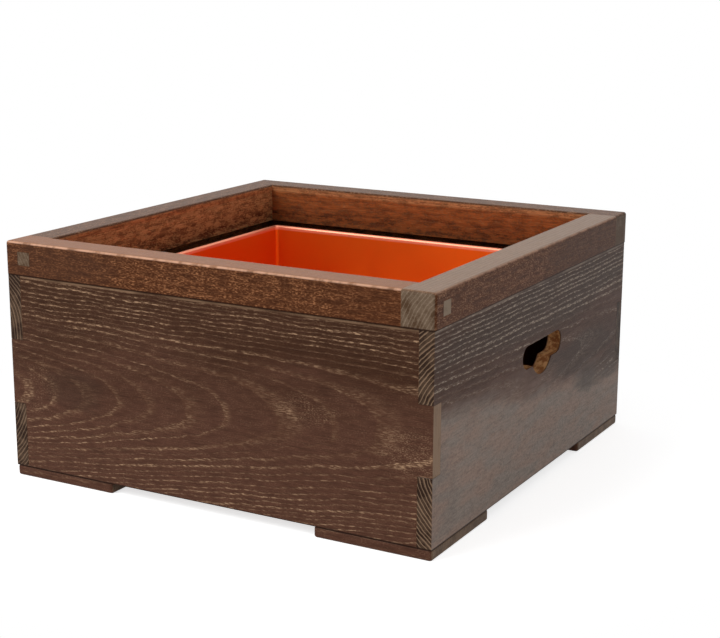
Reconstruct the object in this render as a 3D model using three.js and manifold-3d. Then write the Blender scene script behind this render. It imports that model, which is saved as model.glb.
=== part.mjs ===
// A portable tea hearth: a burnt-wood box with hand holes, on four corner feet, a copper liner that
// lifts out, and a loose square frame that rests in the mouth of the box.
// Millimetres, +Z up. The origin is the middle of the footprint on the floor, and -Y is the front.
import * as THREE from "three";
import { mergeVertices } from "three/addons/utils/BufferGeometryUtils.js";
import Module from "manifold-3d";

// The loose frame: four rails that follow each other round, each running past the next one's end
const FRAME_SIDE = 424;
const RAIL_WIDTH = 30;
const RAIL_HEIGHT = 30;
const RAIL_ROUNDING = 2.5;
const FRAME_CORNER_RADIUS = 3;
const LIP_DEPTH = 8.8;
const LIP_GAP = 1;
const TENON_WIDTH = 13;
const TENON_HEIGHT = 12;
const TENON_FROM_CORNER = 20;
const TENON_ROOT = 6;
const TENON_GAP = 0.2;

// The box: four boards with three-finger corners, and a bottom board between them
const FRAME_OVERHANG = 1;
const BOARD_THICKNESS = 13.5;
const BOARD_HEIGHT = 178;
const FINGER_COUNT = 3;
const BOTTOM_THICKNESS = 9;
const BOTTOM_GAP = 0.5;

// The hand hole in each side board: a slot with round ends and a round lobe below it
const HOLE_WIDTH = 88;
const HOLE_SLOT_HEIGHT = 21;
const HOLE_TOP_FROM_BOARD_TOP = 53;
const HOLE_LOBE_WIDTH = 42;
const HOLE_LOBE_DROP = 11.5;
const HOLE_TOWARDS_BACK = 6;

// The feet: a plate under each corner, held by three screws
const FOOT_SIDE = 108;
const FOOT_THICKNESS = 9.5;
const FOOT_ROUNDING = 2;
const FOOT_CORNER_RADIUS = 3;
const WALL_SCREW_FROM_CORNER = 70;
const BOTTOM_SCREW_FROM_CORNER = 56;

// The screws
const SCREW_HEAD_RADIUS = 3.5;
const SCREW_SHANK_RADIUS = 1.8;
const SCREW_HEAD_HEIGHT = 2.2;
const SCREW_POINT_LENGTH = 3.5;
const SCREW_SINK = 0.6;
const SCREW_GAP = 0.25;
const SCREW_SLOT_WIDTH = 0.9;
const SCREW_SLOT_DEPTH = 1;
const WALL_SCREW_LENGTH = 30;
const BOTTOM_SCREW_LENGTH = 15;
const SCREW_SIDES = 16;

// The copper liner: an open sheet box with a rolled rim, kept central by four strips
const FINGER_ROOM = 27.5;
const RIM_BELOW_LIP = 2.3;
const LINER_SHEET = 1.2;
const LINER_CORNER_RADIUS = 5;
const RIM_HEIGHT = 3.6;
const RIM_OUTWARD = 2.4;
const RIM_ROUNDING = 1.4;
const STOP_LENGTH = 200;
const STOP_WIDTH = 12;
const STOP_HEIGHT = 15;
const STOP_GAP = 1.5;

const CURVE_STEPS = 4;
const LOBE_STEPS = 14;

// Sizes and levels that follow from the driving dimensions
const FRAME_HALF = FRAME_SIDE / 2;
const FRAME_MOUTH_HALF = FRAME_HALF - RAIL_WIDTH;
const BOX_HALF = FRAME_HALF - FRAME_OVERHANG;
const BOX_INNER_HALF = BOX_HALF - BOARD_THICKNESS;
const BOX_BOTTOM = FOOT_THICKNESS;
const BOX_TOP = BOX_BOTTOM + BOARD_HEIGHT;
const LINER_SEAT = BOX_BOTTOM + BOTTOM_THICKNESS;
const LINER_HALF = BOX_INNER_HALF - FINGER_ROOM;
const LINER_HEIGHT = BOX_TOP - LIP_DEPTH - RIM_BELOW_LIP - LINER_SEAT;

const burntWood = finish("burnt_wood", 0x5a3a2d, 0.75, 0);
const sheenWood = finish("frame_wood", 0x6b4a38, 0.6, 0);
const plainWood = finish("inner_wood", 0x8a6546, 0.8, 0);
const copper = finish("copper", 0xc8501e, 0.35, 1);
const steel = finish("screw_steel", 0x8d8a84, 0.4, 1);

const wasm = await Module();
wasm.setup();

function finish(name, color, roughness, metalness) {
  return new THREE.MeshStandardMaterial({ name, color, roughness, metalness });
}

// A closed geometry as a solid that can be joined and cut
function solidOf(geometry) {
  const bare = geometry.clone();
  bare.deleteAttribute("normal");
  bare.deleteAttribute("uv");
  const merged = mergeVertices(bare, 1e-4);
  return new wasm.Manifold(
    new wasm.Mesh({
      numProp: 3,
      vertProperties: new Float32Array(merged.attributes.position.array),
      triVerts: new Uint32Array(merged.index.array),
    }),
  );
}

function geometryOf(solid) {
  const mesh = solid.getMesh();
  const geometry = new THREE.BufferGeometry();
  geometry.setAttribute("position", new THREE.BufferAttribute(mesh.vertProperties, 3));
  geometry.setIndex(new THREE.BufferAttribute(mesh.triVerts, 1));
  geometry.computeVertexNormals();
  return geometry;
}

// A box between two opposite corners
function boxBetween(low, high) {
  const size = high.map((value, i) => value - low[i]);
  const middle = high.map((value, i) => (value + low[i]) / 2);
  return new THREE.BoxGeometry(...size).translate(...middle);
}

function named(name, geometry, material) {
  const mesh = new THREE.Mesh(geometry, material);
  mesh.name = name;
  return mesh;
}

// A square with its middle at the origin and round corners, as the outline of a shape or of a hole
function roundedSquare(half, radius, outline = new THREE.Shape()) {
  const flat = half - radius;
  outline.moveTo(-flat, -half);
  outline.lineTo(flat, -half);
  outline.absarc(flat, -flat, radius, -Math.PI / 2, 0, false);
  outline.lineTo(half, flat);
  outline.absarc(flat, flat, radius, 0, Math.PI / 2, false);
  outline.lineTo(-flat, half);
  outline.absarc(-flat, flat, radius, Math.PI / 2, Math.PI, false);
  outline.lineTo(-half, -flat);
  outline.absarc(-flat, -flat, radius, Math.PI, 1.5 * Math.PI, false);
  return outline;
}

function sharpSquare(half) {
  const outline = new THREE.Path();
  outline.moveTo(-half, -half);
  outline.lineTo(half, -half);
  outline.lineTo(half, half);
  outline.lineTo(-half, half);
  outline.closePath();
  return outline;
}

// The whole frame as one ring with rounded top edges, its underside at height 0
function frameRing() {
  const outline = roundedSquare(FRAME_HALF, FRAME_CORNER_RADIUS);
  outline.holes.push(sharpSquare(FRAME_MOUTH_HALF));
  const ring = new THREE.ExtrudeGeometry(outline, {
    depth: RAIL_HEIGHT,
    bevelThickness: RAIL_ROUNDING,
    bevelSize: RAIL_ROUNDING,
    bevelOffset: -RAIL_ROUNDING,
    bevelSegments: CURVE_STEPS,
    curveSegments: CURVE_STEPS,
  });
  return ring.translate(0, 0, -RAIL_ROUNDING);
}

// The front rail. Its left end runs through to the left face of the frame and has a mortise, and its
// right end meets the right rail and has a tenon that passes through it.
function railGeometry() {
  const innerY = -FRAME_MOUTH_HALF;
  const butt = FRAME_MOUTH_HALF;
  const lipOuter = BOX_INNER_HALF - LIP_GAP;
  const tenonMiddle = FRAME_HALF - TENON_FROM_CORNER;
  const tenonLow = (RAIL_HEIGHT - TENON_HEIGHT) / 2;
  const halfWidth = TENON_WIDTH / 2;
  const span = boxBetween([-FRAME_HALF, -FRAME_HALF, 0], [butt, innerY, RAIL_HEIGHT]);
  const lip = boxBetween([-lipOuter, -lipOuter, -LIP_DEPTH], [butt, innerY, RAIL_HEIGHT / 2]);
  const tenon = boxBetween(
    [butt - TENON_ROOT, -tenonMiddle - halfWidth, tenonLow],
    [FRAME_HALF, -tenonMiddle + halfWidth, tenonLow + TENON_HEIGHT],
  );
  const mortise = boxBetween(
    [-tenonMiddle - halfWidth - TENON_GAP, -FRAME_HALF - 1, tenonLow - TENON_GAP],
    [-tenonMiddle + halfWidth + TENON_GAP, innerY + 1, tenonLow + TENON_HEIGHT + TENON_GAP],
  );
  const rail = solidOf(frameRing()).intersect(solidOf(span)).add(solidOf(lip));
  return geometryOf(rail.add(solidOf(tenon)).subtract(solidOf(mortise)));
}

function makeFrame() {
  const frame = new THREE.Group();
  const rail = railGeometry();
  ["front", "right", "back", "left"].forEach((side, i) => {
    const mesh = named(`frame_rail_${side}`, rail, sheenWood);
    mesh.rotation.z = (i * Math.PI) / 2;
    frame.add(mesh);
  });
  frame.position.z = BOX_TOP;
  return frame;
}

// A board's face, with its ends stepped into fingers. Odd fingers, counted from the bottom, are as
// wide as oddHalf on each side of the middle, and even ones as evenHalf.
function boardOutline(oddHalf, evenHalf) {
  const corners = [];
  for (let i = 0; i < FINGER_COUNT; i++) {
    const half = i % 2 ? evenHalf : oddHalf;
    corners.push([half, (i * BOARD_HEIGHT) / FINGER_COUNT]);
    corners.push([half, ((i + 1) * BOARD_HEIGHT) / FINGER_COUNT]);
  }
  const right = corners.map(([x, y]) => new THREE.Vector2(x, y));
  const left = corners.map(([x, y]) => new THREE.Vector2(-x, y)).reverse();
  return new THREE.Shape([...right, ...left]);
}

// The hand hole's outline, with its middle at height 0 along the top edge of the slot
function handHoleOutline() {
  const endRadius = HOLE_SLOT_HEIGHT / 2;
  const endMiddle = HOLE_WIDTH / 2 - endRadius;
  const lobeHalf = HOLE_LOBE_WIDTH / 2;
  const lobeRadius = (lobeHalf ** 2 + HOLE_LOBE_DROP ** 2) / (2 * HOLE_LOBE_DROP);
  const lobeMiddle = -HOLE_SLOT_HEIGHT - HOLE_LOBE_DROP + lobeRadius;
  const lobeAngle = Math.asin(lobeHalf / lobeRadius);
  const points = [];
  const arc = (x, y, radius, from, to, steps) => {
    for (let i = 0; i <= steps; i++) {
      const angle = from + ((to - from) * i) / steps;
      points.push(new THREE.Vector2(x + radius * Math.cos(angle), y + radius * Math.sin(angle)));
    }
  };
  const down = -Math.PI / 2;
  arc(endMiddle, -endRadius, endRadius, Math.PI / 2, down, 2 * CURVE_STEPS);
  arc(0, lobeMiddle, lobeRadius, down + lobeAngle, down - lobeAngle, LOBE_STEPS);
  arc(-endMiddle, -endRadius, endRadius, down, down - Math.PI, 2 * CURVE_STEPS);
  return points;
}

// A board standing as the front one does, from its outline
function boardSolid(outline) {
  const board = new THREE.ExtrudeGeometry(outline, { depth: BOARD_THICKNESS, bevelEnabled: false });
  return solidOf(board.rotateX(Math.PI / 2).translate(0, -BOX_INNER_HALF, 0));
}

function endBoardGeometry() {
  const board = boardSolid(boardOutline(BOX_INNER_HALF, BOX_HALF));
  return geometryOf(cutPilots(board, frontPilots(), BOX_BOTTOM));
}

function sideBoardGeometry(towardsBack) {
  const outline = boardOutline(BOX_HALF, BOX_INNER_HALF);
  const top = BOARD_HEIGHT - HOLE_TOP_FROM_BOARD_TOP;
  const moved = handHoleOutline().map((p) => new THREE.Vector2(p.x + towardsBack, p.y + top));
  outline.holes.push(new THREE.Path(moved));
  return geometryOf(cutPilots(boardSolid(outline), frontPilots(), BOX_BOTTOM));
}

// Where the wall screws stand in a board that stands as the front one does
function frontPilots() {
  const along = BOX_HALF - WALL_SCREW_FROM_CORNER;
  const across = -BOX_HALF + BOARD_THICKNESS / 2;
  return [-along, along].map((x) => ({ x, y: across, length: WALL_SCREW_LENGTH }));
}

// Where the bottom screws stand, one for each foot
function bottomPilots() {
  const away = BOX_HALF - BOTTOM_SCREW_FROM_CORNER;
  const corners = [[-away, -away], [away, -away], [away, away], [-away, away]];
  return corners.map(([x, y]) => ({ x, y, length: BOTTOM_SCREW_LENGTH }));
}

// Screw holes in a solid whose underside is at this height above the floor
function cutPilots(solid, pilots, height) {
  return pilots.reduce((left, { x, y, length }) => {
    const hole = screwHole(length).translate(x, y, SCREW_SINK - height);
    return left.subtract(solidOf(hole));
  }, solid);
}

// A turned shape that stands on height 0, from its radii and heights
function turned(profile) {
  const points = profile.map(([radius, z]) => new THREE.Vector2(radius, z));
  return new THREE.LatheGeometry(points, SCREW_SIDES).rotateX(Math.PI / 2);
}

// The head's cone, the shank and the point of a countersunk wood screw, with a gap all round
function screwSides(length, gap) {
  return [
    [SCREW_HEAD_RADIUS + gap, 0],
    [SCREW_SHANK_RADIUS + gap, SCREW_HEAD_HEIGHT],
    [SCREW_SHANK_RADIUS + gap, length - SCREW_POINT_LENGTH],
    [0, length + gap],
  ];
}

// The hole that clears a screw, open below the head
function screwHole(length) {
  const below = -SCREW_SINK - SCREW_GAP;
  return turned([[0, below], [SCREW_HEAD_RADIUS + SCREW_GAP, below], ...screwSides(length, SCREW_GAP)]);
}

// A screw, point up, with the underside of its head at height 0
function screwGeometry(length) {
  const slot = boxBetween(
    [-SCREW_HEAD_RADIUS - 1, -SCREW_SLOT_WIDTH / 2, -1],
    [SCREW_HEAD_RADIUS + 1, SCREW_SLOT_WIDTH / 2, SCREW_SLOT_DEPTH],
  );
  const screw = turned([[0, 0], ...screwSides(length, 0)]);
  return geometryOf(solidOf(screw).subtract(solidOf(slot)));
}

// The plate under the front left corner, its outer edges in line with the box's
function footGeometry() {
  const half = FOOT_SIDE / 2;
  const outline = roundedSquare(half, FOOT_CORNER_RADIUS);
  const plate = new THREE.ExtrudeGeometry(outline, {
    depth: FOOT_THICKNESS - 2 * FOOT_ROUNDING,
    bevelThickness: FOOT_ROUNDING,
    bevelSize: FOOT_ROUNDING,
    bevelOffset: -FOOT_ROUNDING,
    bevelSegments: CURVE_STEPS,
    curveSegments: CURVE_STEPS,
  }).translate(0, 0, FOOT_ROUNDING);
  const middle = FOOT_SIDE / 2 - BOX_HALF;
  return geometryOf(cutPilots(solidOf(plate.translate(middle, middle, 0)), footScrews(), 0));
}

// Where the three screws of the front left foot stand
function footScrews() {
  const wall = BOARD_THICKNESS / 2 - BOX_HALF;
  const along = WALL_SCREW_FROM_CORNER - BOX_HALF;
  const inner = BOTTOM_SCREW_FROM_CORNER - BOX_HALF;
  return [
    { wall: "end_wall", x: along, y: wall, length: WALL_SCREW_LENGTH },
    { wall: "side_wall", x: wall, y: along, length: WALL_SCREW_LENGTH },
    { wall: "bottom", x: inner, y: inner, length: BOTTOM_SCREW_LENGTH },
  ];
}

// Each foot is the front left one turned round the middle of the box. A quarter turn brings the
// screw of an end board, front or back, to a side board.
function makeFeet() {
  const feet = new THREE.Group();
  const foot = footGeometry();
  const otherWall = { end_wall: "side_wall", side_wall: "end_wall", bottom: "bottom" };
  ["front_left", "front_right", "back_right", "back_left"].forEach((place, i) => {
    const corner = new THREE.Group();
    corner.add(named(`foot_${place}`, foot, burntWood));
    for (const { wall, x, y, length } of footScrews()) {
      const name = `screw_${place}_${i % 2 ? otherWall[wall] : wall}`;
      const screw = named(name, screwGeometry(length), steel);
      screw.position.set(x, y, SCREW_SINK);
      corner.add(screw);
    }
    corner.rotation.z = (i * Math.PI) / 2;
    feet.add(corner);
  });
  return feet;
}

function makeBox() {
  const box = new THREE.Group();
  const endBoard = endBoardGeometry();
  const boards = [
    ["front_board", endBoard, 0],
    ["right_board", sideBoardGeometry(HOLE_TOWARDS_BACK), 1],
    ["back_board", endBoard, 2],
    ["left_board", sideBoardGeometry(-HOLE_TOWARDS_BACK), 3],
  ];
  for (const [name, geometry, quarterTurns] of boards) {
    const board = named(name, geometry, burntWood);
    board.rotation.z = (quarterTurns * Math.PI) / 2;
    box.add(board);
  }
  const half = BOX_INNER_HALF - BOTTOM_GAP;
  const panel = solidOf(boxBetween([-half, -half, 0], [half, half, BOTTOM_THICKNESS]));
  const bottom = geometryOf(cutPilots(panel, bottomPilots(), BOX_BOTTOM));
  box.add(named("bottom_board", bottom, plainWood));
  box.position.z = BOX_BOTTOM;
  return box;
}

function makeStops() {
  const stops = new THREE.Group();
  const near = LINER_HALF + STOP_GAP;
  const half = STOP_LENGTH / 2;
  const strip = boxBetween([-half, -near - STOP_WIDTH, 0], [half, -near, STOP_HEIGHT]);
  ["front", "right", "back", "left"].forEach((side, i) => {
    const mesh = named(`liner_stop_${side}`, strip, plainWood);
    mesh.rotation.z = (i * Math.PI) / 2;
    stops.add(mesh);
  });
  stops.position.z = LINER_SEAT;
  return stops;
}

// An upright square tube or block of the liner
function linerPiece(half, radius, height) {
  return new THREE.ExtrudeGeometry(roundedSquare(half, radius), {
    depth: height,
    bevelEnabled: false,
    curveSegments: CURVE_STEPS,
  });
}

function rimGeometry() {
  const inner = LINER_HALF - LINER_SHEET;
  const outline = roundedSquare(LINER_HALF + RIM_OUTWARD, LINER_CORNER_RADIUS + RIM_OUTWARD);
  outline.holes.push(roundedSquare(inner, LINER_CORNER_RADIUS - LINER_SHEET, new THREE.Path()));
  return new THREE.ExtrudeGeometry(outline, {
    depth: RIM_HEIGHT - 2 * RIM_ROUNDING,
    bevelThickness: RIM_ROUNDING,
    bevelSize: RIM_ROUNDING,
    bevelOffset: -RIM_ROUNDING,
    bevelSegments: CURVE_STEPS,
    curveSegments: CURVE_STEPS,
  }).translate(0, 0, LINER_HEIGHT - RIM_HEIGHT + RIM_ROUNDING);
}

function makeLiner() {
  const wallTop = LINER_HEIGHT - RIM_HEIGHT / 2;
  const outside = linerPiece(LINER_HALF, LINER_CORNER_RADIUS, wallTop);
  const inside = linerPiece(LINER_HALF - LINER_SHEET, LINER_CORNER_RADIUS - LINER_SHEET, LINER_HEIGHT);
  const shell = solidOf(outside).subtract(solidOf(inside.translate(0, 0, LINER_SHEET)));
  const liner = named("copper_liner", geometryOf(shell.add(solidOf(rimGeometry()))), copper);
  liner.position.z = LINER_SEAT;
  return liner;
}

const hearth = new THREE.Group();
hearth.add(makeBox(), makeFeet(), makeStops(), makeLiner(), makeFrame());

export default hearth;
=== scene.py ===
"""A portable tea hearth of burnt wood with a copper liner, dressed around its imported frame."""

import math
from collections import namedtuple

import bpy
from mathutils import Euler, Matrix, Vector


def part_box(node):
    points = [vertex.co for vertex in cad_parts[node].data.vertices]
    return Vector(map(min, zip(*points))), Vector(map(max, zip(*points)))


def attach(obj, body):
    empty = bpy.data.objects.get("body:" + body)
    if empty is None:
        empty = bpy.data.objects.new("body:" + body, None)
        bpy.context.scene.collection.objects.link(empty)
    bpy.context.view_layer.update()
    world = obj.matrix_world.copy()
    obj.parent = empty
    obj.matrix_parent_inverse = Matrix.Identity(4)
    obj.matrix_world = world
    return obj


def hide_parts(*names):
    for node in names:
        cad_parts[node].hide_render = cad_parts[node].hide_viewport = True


bl_info = {
    "name": "Portable tea hearth",
    "version": (1, 0, 0),
    "blender": (4, 5, 0),
    "location": "3D View > Sidebar > Hearth",
    "description": "Finishes the burnt wood, the copper liner and the stage of a portable tea hearth",
    "category": "Object",
}

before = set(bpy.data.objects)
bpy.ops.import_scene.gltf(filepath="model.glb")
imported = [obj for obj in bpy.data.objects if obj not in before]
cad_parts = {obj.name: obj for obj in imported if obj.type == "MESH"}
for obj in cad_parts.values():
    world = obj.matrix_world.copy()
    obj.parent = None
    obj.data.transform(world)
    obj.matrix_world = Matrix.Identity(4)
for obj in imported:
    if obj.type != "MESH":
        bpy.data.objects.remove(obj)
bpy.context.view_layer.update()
MM = 0.001

SIDES = ("front", "right", "back", "left")
FEET = ("foot_front_left", "foot_front_right", "foot_back_right", "foot_back_left")
SCREWS = tuple(sorted(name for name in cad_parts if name.startswith("screw_")))

# The camera, from a fit of the photograph's outline. The picture is 720 by 638 pixels.
CAMERA_PLACE = (713.8 * MM, -1235.9 * MM, 473.0 * MM)
CAMERA_TURN = (76.39, -0.25, 29.05)
CAMERA_LENS = 77.45
CAMERA_SENSOR = 36.0

# The lamps and the floor, in metres, and how far from the middle the floor's shadow fades, in millimetres
KEY_PLACE, KEY_SIZE = (-1.3, -1.9, 2.0), 2.2
FILL_PLACE, FILL_SIZE = (1.9, -0.6, 1.3), 1.8
LAMP_TARGET = Vector((0, 0, 0.1))
FLOOR_SIZE = 12
SHADOW_REACH = (240.0, 460.0)

# How finely the liner's bends and rim are rounded, and the least angle in degrees that stays sharp on it
CORNER_SEGMENTS = 8
FLOOR_BEND_SEGMENTS = 4
RIM_ROUNDNESS = 4
SMOOTH_ANGLE = 40

# How the boards' and rails' edges are eased: the reach of the weld before it, in metres, how finely, and
# the least angle in degrees that counts as an edge
WELD_REACH = 0.01 * MM
EASING_SEGMENTS = 2
EASING_ANGLE = 30

# Half the box's side, half the frame's side and the liner's corners, which patterns and pieces follow
BOX_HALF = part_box("front_board")[1].x
FRAME_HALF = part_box("frame_rail_front")[1].x
LINER_LOW, LINER_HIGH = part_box("copper_liner")

# Where a board holds the least paste: its height, from how far away the paste grows and to how far, in
# millimetres, and the share that stays
QUIET_MIDDLE = (100.0, 12.0, 58.0, 0.3)
QUIET_RIGHT = (105.0, 24.0, 42.0, 0.25)
QUIET_NOWHERE = (100.0, 12.0, 58.0, 1.0)

# The line under which a face is planed smooth and a grey sheen is painted into its colour: no line at all,
# how fast it falls along the board, how far it wanders and how blurred it is, in millimetres
NEVER_SMOOTH = -200.0
SMOOTH_FALL = 0.13
SMOOTH_WANDER = 40.0
SMOOTH_BLUR = 18.0

# How a board was sawn from its trunk, in millimetres. Start and level are where along the board and
# how high its rings close on the outer face, and drift is how far the level rises along it. The heart
# is so far from the outer face, outside it for 1 and inside for -1. Taper is how fast the rings open
# along the board. Near and far end, the near one at left as seen from outside, are how pale the sawn end
# is and how clearly its rings show. Flat is the share of the taper that the upper rings leave out. Below
# smooth, which falls along the board, the face is planed smooth and a grey sheen is painted into its
# colour, where less paste shows. Quiet is where it holds the least paste. Waver is how far the rings
# wander, and paste how much of it the brushing left. Inner is how far the inner face has its own
# colour, and how pale that is; on the rails that colour is a painted glow of light from the copper, and
# the left rail's paler one is painted light. Sheen grey is how far a grey sheen is painted on the paste
# and the top face. Rubbed and lit is how far the top face has its paler colour, painted light and use,
# and its polish. Worn highlight is how far the top outer edge is worn and a highlight is painted along
# it. Places are those that differ from the rest, and a holed board has a hand hole.
Cut = namedtuple(
    "Cut",
    "start level drift heart outside taper near_end far_end flat smooth quiet"
    " waver paste inner grey rubbed worn places holed",
    defaults=(0.0, NEVER_SMOOTH, QUIET_NOWHERE, 10.0, 1.0, (1.0, 0.0), 0.0, 1.0, 1.0, (), False),
)

# An oval place on a board that differs from the rest, in millimetres: along, height and half its length
# and height, then how many times the paste it holds and how far it is darker
Place = namedtuple("Place", "along height reach rise paste deep", defaults=(0.0,))

FRONT_PLACES = (
    Place(95.0, 106.0, 34.0, 16.0, 3.2),
    Place(194.0, 88.0, 38.0, 24.0, 4.0),
    Place(-180.0, 86.0, 22.0, 28.0, 2.4),
    Place(-140.0, 90.0, 40.0, 24.0, 0.7, 0.3),
    Place(90.0, 146.0, 120.0, 20.0, 0.45),
    Place(-120.0, 160.0, 90.0, 36.0, 1.3),
    Place(130.0, 52.0, 90.0, 24.0, 0.7),
)
RIGHT_PLACES = (
    Place(20.0, 164.0, 260.0, 30.0, 1.35, 0.5),
    Place(110.0, 100.0, 120.0, 22.0, 1.0, 0.65),
    Place(190.0, 72.0, 130.0, 20.0, 1.2, 0.6),
    Place(60.0, 34.0, 210.0, 38.0, 1.25),
    Place(-205.0, 45.0, 45.0, 60.0, 1.0, 0.13),
)
BOARD_CUTS = {
    "front": Cut(
        start=-200.0, level=83.0, drift=0.025, heart=62.0, outside=-1.0, taper=0.1,
        near_end=(0.15, 0.35), far_end=(0.9, 0.1), flat=0.65, quiet=QUIET_MIDDLE,
        paste=1.15, places=FRONT_PLACES,
    ),
    # The right board has a grey sheen painted below its smooth line
    "right": Cut(
        start=-205.0, level=95.0, drift=0.04, heart=66.0, outside=1.0, taper=0.05,
        near_end=(0.0, 0.85), far_end=(0.15, 0.25), smooth=121.0, quiet=QUIET_RIGHT,
        waver=4.0, paste=2.1, grey=1.0, places=RIGHT_PLACES, holed=True,
    ),
    "back": Cut(
        start=-260.0, level=96.0, drift=-0.02, heart=66.0, outside=-1.0, taper=0.09,
        near_end=(0.0, 0.2), far_end=(0.3, 0.3), flat=0.6, quiet=QUIET_MIDDLE,
    ),
    "left": Cut(
        start=-230.0, level=88.0, drift=0.02, heart=80.0, outside=1.0, taper=0.07,
        near_end=(0.15, 0.4), far_end=(0.0, 0.55), flat=0.8, quiet=QUIET_MIDDLE, holed=True,
    ),
}
RAIL_CUT = Cut(
    start=-420.0, level=166.0, drift=0.0, heart=46.0, outside=1.0, taper=0.02,
    near_end=(0.2, 0.2), far_end=(0.4, 0.1), inner=(0.85, 0.0),
)
FRONT_RAIL_PLACES = (Place(-160.0, 203.0, 80.0, 60.0, 0.45, 0.35), Place(165.0, 203.0, 50.0, 60.0, 0.5))
RIGHT_RAIL_PLACES = (Place(120.0, 203.0, 130.0, 90.0, 0.45, 0.5),)
# A grey sheen is painted on the paste and top faces of the right, back and left rails
RAIL_CUTS = {
    "front": RAIL_CUT._replace(far_end=(0.95, 0.05), places=FRONT_RAIL_PLACES),
    "right": RAIL_CUT._replace(near_end=(0.12, 0.4), grey=1.0, worn=0.4, places=RIGHT_RAIL_PLACES),
    "back": RAIL_CUT._replace(near_end=(0.0, 0.05), grey=1.0, rubbed=0.3, worn=0.5),
    # The left rail's inner face is paler: painted light
    "left": RAIL_CUT._replace(far_end=(0.0, 0.25), grey=1.0, rubbed=0.3, worn=0.5, inner=(0.9, 1.0)),
}
FOOT_CUT = Cut(
    start=-420.0, level=30.0, drift=0.0, heart=60.0, outside=1.0, taper=0.04,
    near_end=(0.3, 0.15), far_end=(0.42, 0.2), paste=0.55, inner=(0.0, 0.0),
)
RAW_CUT = Cut(
    start=-420.0, level=-40.0, drift=0.0, heart=60.0, outside=1.0, taper=0.05,
    near_end=(0.5, 0.6), far_end=(0.5, 0.6),
)

# The rings, in millimetres: their mean width and how uneven it is, how far along the board they open, how
# far they ripple near the heart's line and away from it, and how high above it the flat share is reached
RING_WIDTH = 3.1
RING_UNEVENNESS = 1.1
TAPER_REACH = 650.0
NEAR_RIPPLE = 7.0
FAR_RIPPLE = 2.3
FLAT_RISE = 75.0

# Sizes of the lumps in each pattern, along, up and into the board, in millimetres
WAVER_SIZES = (85.0, 42.0, 42.0)
RIPPLE_SIZES = (16.0, 7.0, 7.0)
PORE_SIZES = (5.2, 0.9, 0.9)
FIBRE_SIZES = (26.0, 0.5, 0.5)
PATCH_SIZES = (48.0, 15.0, 15.0)
MOTTLE_SIZES = (12.0, 4.5, 4.5)
TONE_SIZES = (120.0, 36.0, 36.0)
GRIT_SIZES = (3.0, 1.7, 1.7)
TORN_SIZES = (9.0, 3.5, 3.5)
SPECK_SHAPE = (2.6, 1.0, 1.0)

COPPER_CLOUD_SIZES = (70.0, 70.0, 70.0)
ROLLING_MARK_SIZES = (80.0, 80.0, 1.2)
STEEL_MARK_SIZES = (1.0, 1.0, 1.0)

# Painted shade darkens the copper towards its left wall: from where and to where across the liner, and how
# far
LEFT_SHADE_REACH = (60.0, -160.0)
LEFT_SHADE_SHARE = 0.7

# Half the length of the hand hole and its heights, with a little to spare, in millimetres
HOLE_REACH = 54.0
HOLE_LOW, HOLE_HIGH = 98.0, 137.0
BOARD_THICKNESS = 13.5

# Heights of the seams under the loose frame and over the feet, darkened with painted shade, in millimetres
SEAMS = (187.5, 9.5)

# Heights over which the painted highlight under a board's top edge, in the paste's colour, comes and goes,
# in millimetres
TOP_HIGHLIGHT_HEIGHTS = (184.4, 185.4, 186.5, 187.3)

# The most paste that shows anywhere
MOST_PASTE = 0.9

# How far a normal points along an axis for its face to count as an end or a top
FACING = (0.7, 0.9)


def deselect_all():
    if bpy.context.object and bpy.context.object.mode != "OBJECT":
        bpy.ops.object.mode_set(mode="OBJECT")
    bpy.ops.object.select_all(action="DESELECT")


def select_only(obj):
    deselect_all()
    obj.select_set(True)
    bpy.context.view_layer.objects.active = obj


def linear(red, green, blue):
    """A colour as it shows on a screen, 0 to 255, as the shader's linear values."""
    channels = []
    for value in (red, green, blue):
        part = value / 255
        channels.append(part / 12.92 if part <= 0.04045 else ((part + 0.055) / 1.055) ** 2.4)
    return (*channels, 1.0)


WHITE = (1.0, 1.0, 1.0, 1.0)
BLACK = (0.0, 0.0, 0.0, 1.0)
PLAIN_STEEL = linear(158, 154, 148)
SPOTTED_STEEL = linear(112, 106, 98)


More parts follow.
